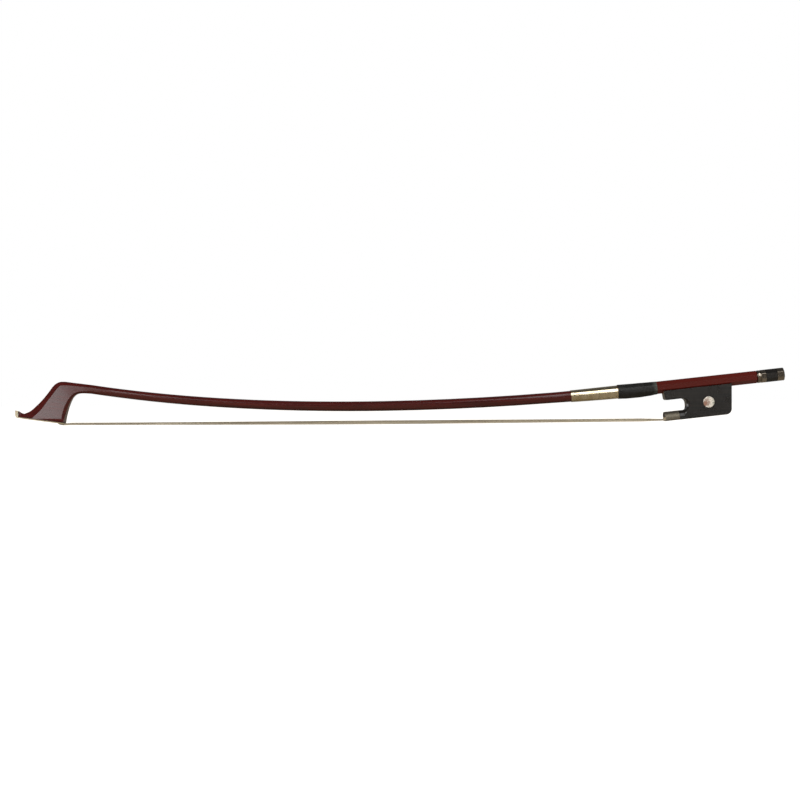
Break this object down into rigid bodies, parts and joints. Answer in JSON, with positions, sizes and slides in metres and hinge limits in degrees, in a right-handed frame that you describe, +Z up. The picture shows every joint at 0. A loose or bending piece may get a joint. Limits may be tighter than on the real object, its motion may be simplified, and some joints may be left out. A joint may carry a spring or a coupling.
{
  "type": "double bass bow",
  "caption": "French-pattern double bass bow: cambered round stick with faceted head, horsehair ribbon, open-throat ebony frog and a screw button that slides the frog.",
  "frame": {"origin": "centre of the bow's footprint, on the level that the hair at the head and the ferrule's front edge stand on", "axes": "+X from the tip to the button, +Y across the bow and away from the camera, +Z up, with the hair below the stick"},
  "size_m": [0.715, 0.014, 0.0489],
  "materials": {
    "stick_wood": "dark reddish-brown bow wood with a thin polish",
    "ebony": "rubbed near-black ebony",
    "bone": "polished pale bone",
    "plug_maple": "bare pale wood",
    "horse_hair": "pale unbleached horsehair",
    "waxed_thread": "waxed tying thread",
    "nickel_silver": "polished, slightly dulled nickel silver",
    "grip_leather": "black fine-grained leather",
    "mother_of_pearl": "polished mother-of-pearl",
    "brass": "bare brass",
    "steel": "bare steel"
  },
  "bodies": {
    "stick": {"stick": "stick_wood", "tip_liner": "ebony", "tip_plate": "bone", "head_plug": "plug_maple", "tip_hair_knot": "waxed_thread", "hair_ribbon": "horse_hair", "winding": "nickel_silver", "thumb_leather": "grip_leather"},
    "frog": {"frog_body": "ebony", "underslide": "nickel_silver", "underslide_screw_front": "nickel_silver", "underslide_screw_rear": "nickel_silver", "eyelet": "brass", "ferrule": "nickel_silver", "ferrule_wedge": "plug_maple", "frog_hair_tail": "horse_hair", "frog_hair_knot": "waxed_thread", "frog_plug": "plug_maple", "slide_backing": "ebony", "pearl_slide": "mother_of_pearl", "pearl_eye_left": "mother_of_pearl", "pearl_eye_right": "mother_of_pearl"},
    "screw": {"screw_rod": "steel", "button_core": "ebony", "button_ring_front": "nickel_silver", "button_ring_back": "nickel_silver"}
  },
  "joints": [
    {"name": "screw_turn", "type": "hinge", "parent": "stick", "child": "screw", "pos_m": [0.33165, 0, 0.04052], "axis": [-0.9946, 0, -0.1037], "range_deg": [-1800, 2700]},
    {"name": "frog_slide", "type": "slide", "parent": "stick", "child": "frog", "axis": [0.9946, 0, 0.1037], "range_m": [-0.004, 0.006], "deforming": ["hair_ribbon"]}
  ],
  "couplings": [
    {"joint": "frog_slide", "follows": "screw_turn", "m_per_rad": 0.0001273}
  ]
}
